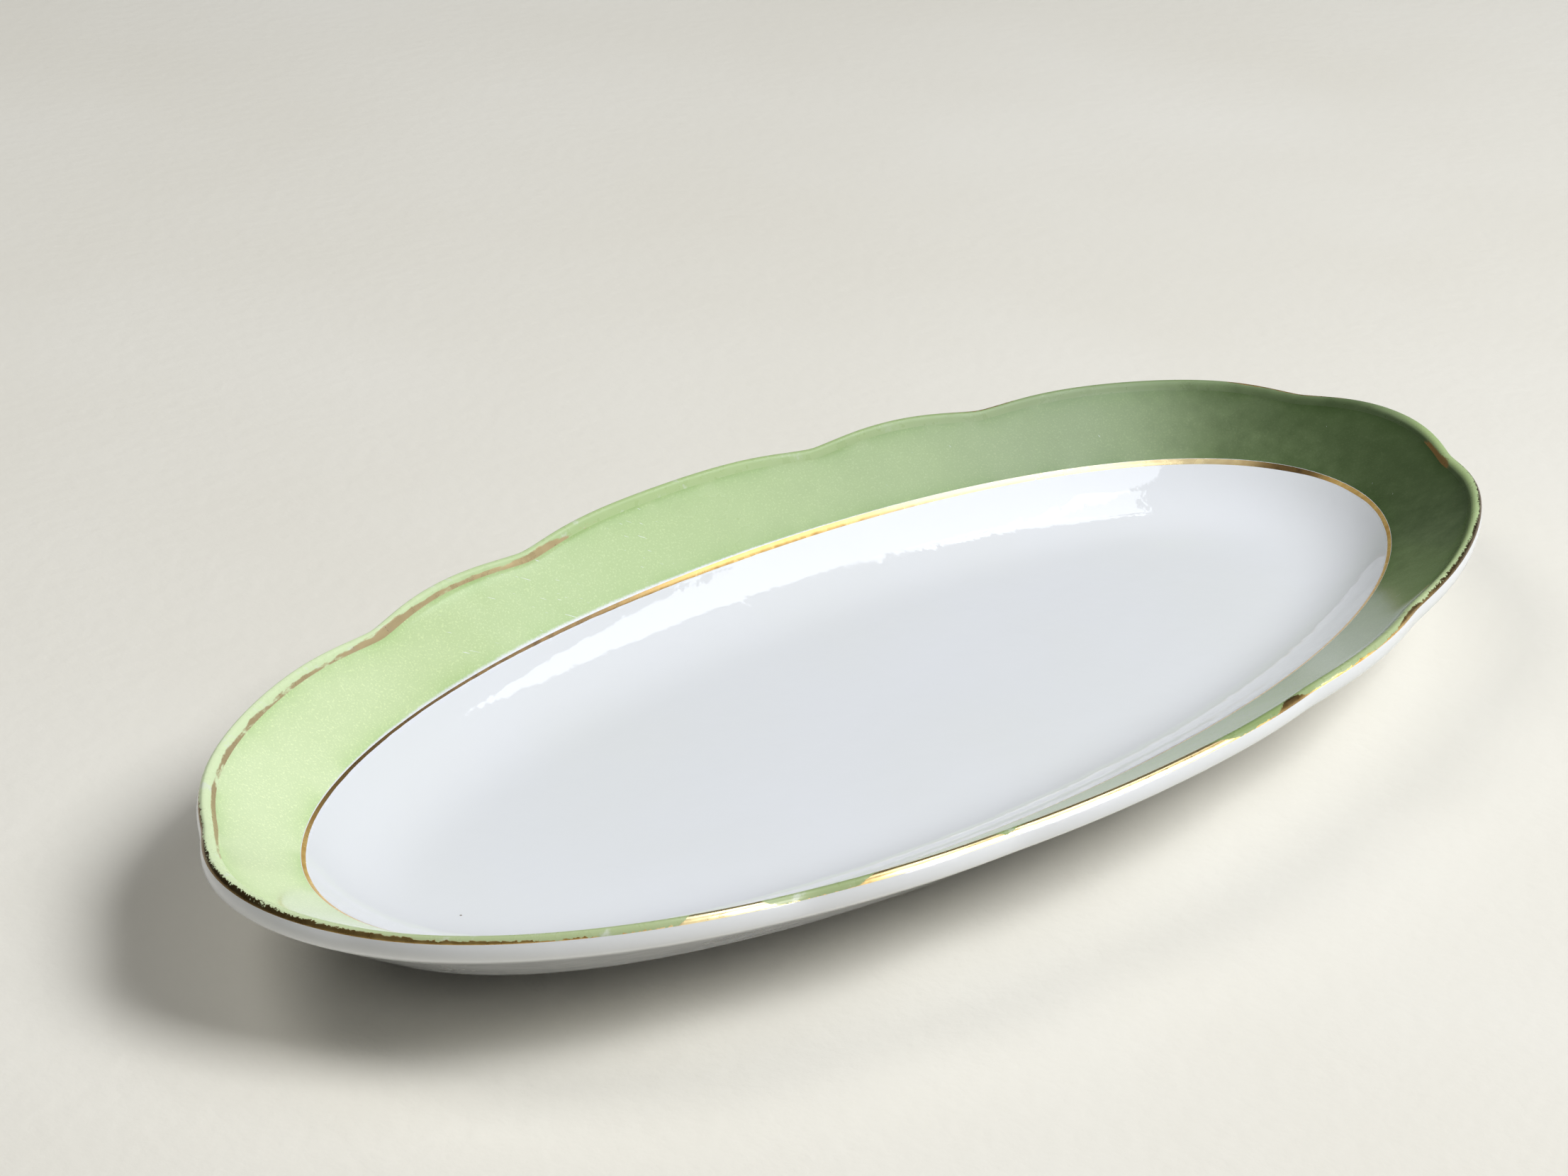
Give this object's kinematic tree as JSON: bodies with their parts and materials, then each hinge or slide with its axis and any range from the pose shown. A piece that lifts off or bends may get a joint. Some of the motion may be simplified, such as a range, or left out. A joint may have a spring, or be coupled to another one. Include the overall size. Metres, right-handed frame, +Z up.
{
  "type": "oval serving platter",
  "caption": "Oval serving platter with a shallow coved well, a flared scalloped rim with a green band, gilt on the well's edge and the rolled lip, and a low foot ring.",
  "frame": {"origin": "centre of the foot ring's bearing face, on the surface that the platter stands on", "axes": "+X along the long axis, +Y along the short axis, +Z up through the open well"},
  "size_m": [0.2986, 0.141, 0.0281],
  "materials": {
    "white_glaze": "gloss",
    "bare_biscuit": "matt, ground flat",
    "green_enamel": "soft gloss, sprayed",
    "line_gilt": "polished gold line",
    "worn_lip_gilt": "rubbed gold"
  },
  "bodies": {
    "root": {"dish_body": "white_glaze", "foot_bare_edge": "bare_biscuit", "green_band": "green_enamel", "well_gilt_line": "line_gilt", "edge_gilt": "worn_lip_gilt"}
  },
  "joints": []
}
